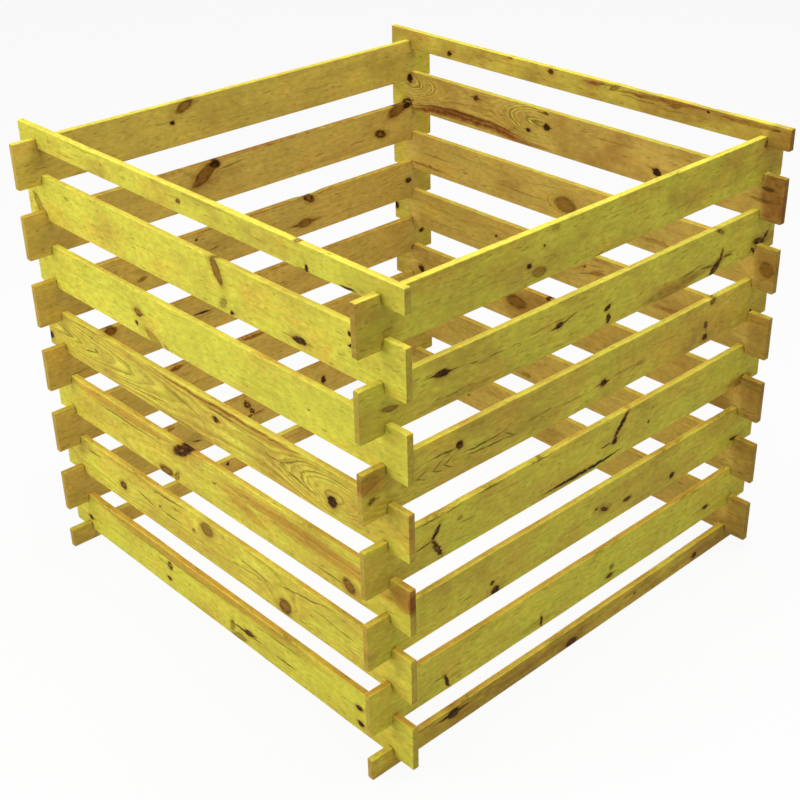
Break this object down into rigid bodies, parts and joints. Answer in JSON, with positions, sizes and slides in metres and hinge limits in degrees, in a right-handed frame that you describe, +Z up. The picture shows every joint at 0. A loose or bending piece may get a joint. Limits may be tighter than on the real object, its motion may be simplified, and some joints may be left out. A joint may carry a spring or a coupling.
{
  "type": "wooden composter",
  "caption": "Square compost bin of loose notched boards that cross log-cabin fashion at the corners, open above and below, with air slots between the boards.",
  "frame": {"origin": "on the ground, at the middle of the square footprint", "axes": "+Z up; the front and back boards run along X and the left and right boards along Y; -Y is the front, the wall at the picture's lower left, and +X the right wall"},
  "size_m": [1, 1, 0.866],
  "materials": {
    "pine_green_tint": "planed pine with a green pressure treatment",
    "pine_golden": "planed pine with a green pressure treatment, golden sapwood",
    "pine_heartwood": "planed pine, brown heartwood that took little treatment"
  },
  "bodies": {
    "ground_course": {"left_ground_half_board": "pine_golden", "right_ground_half_board": "pine_heartwood"},
    "front_back_course_1": {"front_board_1": "pine_golden", "back_board_1": "pine_heartwood"},
    "side_course_1": {"left_board_1": "pine_green_tint", "right_board_1": "pine_golden"},
    "front_back_course_2": {"front_board_2": "pine_heartwood", "back_board_2": "pine_green_tint"},
    "side_course_2": {"left_board_2": "pine_golden", "right_board_2": "pine_heartwood"},
    "front_back_course_3": {"front_board_3": "pine_green_tint", "back_board_3": "pine_golden"},
    "side_course_3": {"left_board_3": "pine_heartwood", "right_board_3": "pine_green_tint"},
    "front_back_course_4": {"front_board_4": "pine_golden", "back_board_4": "pine_heartwood"},
    "side_course_4": {"left_board_4": "pine_green_tint", "right_board_4": "pine_golden"},
    "front_back_course_5": {"front_board_5": "pine_heartwood", "back_board_5": "pine_green_tint"},
    "side_course_5": {"left_board_5": "pine_golden", "right_board_5": "pine_heartwood"},
    "front_back_course_6": {"front_board_6": "pine_green_tint", "back_board_6": "pine_golden"},
    "side_course_6": {"left_board_6": "pine_heartwood", "right_board_6": "pine_green_tint"},
    "front_top_board": {"front_top_half_board": "pine_green_tint"},
    "back_top_board": {"back_top_half_board": "pine_heartwood"}
  },
  "joints": [
    {"name": "front_back_1_lift", "type": "slide", "parent": "ground_course", "child": "front_back_course_1", "axis": [0, 0, 1], "range_m": [0, 0.1]},
    {"name": "side_1_lift", "type": "slide", "parent": "front_back_course_1", "child": "side_course_1", "axis": [0, 0, 1], "range_m": [0, 0.1]},
    {"name": "front_back_2_lift", "type": "slide", "parent": "side_course_1", "child": "front_back_course_2", "axis": [0, 0, 1], "range_m": [0, 0.1]},
    {"name": "side_2_lift", "type": "slide", "parent": "front_back_course_2", "child": "side_course_2", "axis": [0, 0, 1], "range_m": [0, 0.1]},
    {"name": "front_back_3_lift", "type": "slide", "parent": "side_course_2", "child": "front_back_course_3", "axis": [0, 0, 1], "range_m": [0, 0.1]},
    {"name": "side_3_lift", "type": "slide", "parent": "front_back_course_3", "child": "side_course_3", "axis": [0, 0, 1], "range_m": [0, 0.1]},
    {"name": "front_back_4_lift", "type": "slide", "parent": "side_course_3", "child": "front_back_course_4", "axis": [0, 0, 1], "range_m": [0, 0.1]},
    {"name": "side_4_lift", "type": "slide", "parent": "front_back_course_4", "child": "side_course_4", "axis": [0, 0, 1], "range_m": [0, 0.1]},
    {"name": "front_back_5_lift", "type": "slide", "parent": "side_course_4", "child": "front_back_course_5", "axis": [0, 0, 1], "range_m": [0, 0.1]},
    {"name": "side_5_lift", "type": "slide", "parent": "front_back_course_5", "child": "side_course_5", "axis": [0, 0, 1], "range_m": [0, 0.1]},
    {"name": "front_back_6_lift", "type": "slide", "parent": "side_course_5", "child": "front_back_course_6", "axis": [0, 0, 1], "range_m": [0, 0.1]},
    {"name": "side_6_lift", "type": "slide", "parent": "front_back_course_6", "child": "side_course_6", "axis": [0, 0, 1], "range_m": [0, 0.1]},
    {"name": "front_top_lift", "type": "slide", "parent": "side_course_6", "child": "front_top_board", "axis": [0, 0, 1], "range_m": [0, 0.1]},
    {"name": "back_top_lift", "type": "slide", "parent": "side_course_6", "child": "back_top_board", "axis": [0, 0, 1], "range_m": [0, 0.1]}
  ]
}
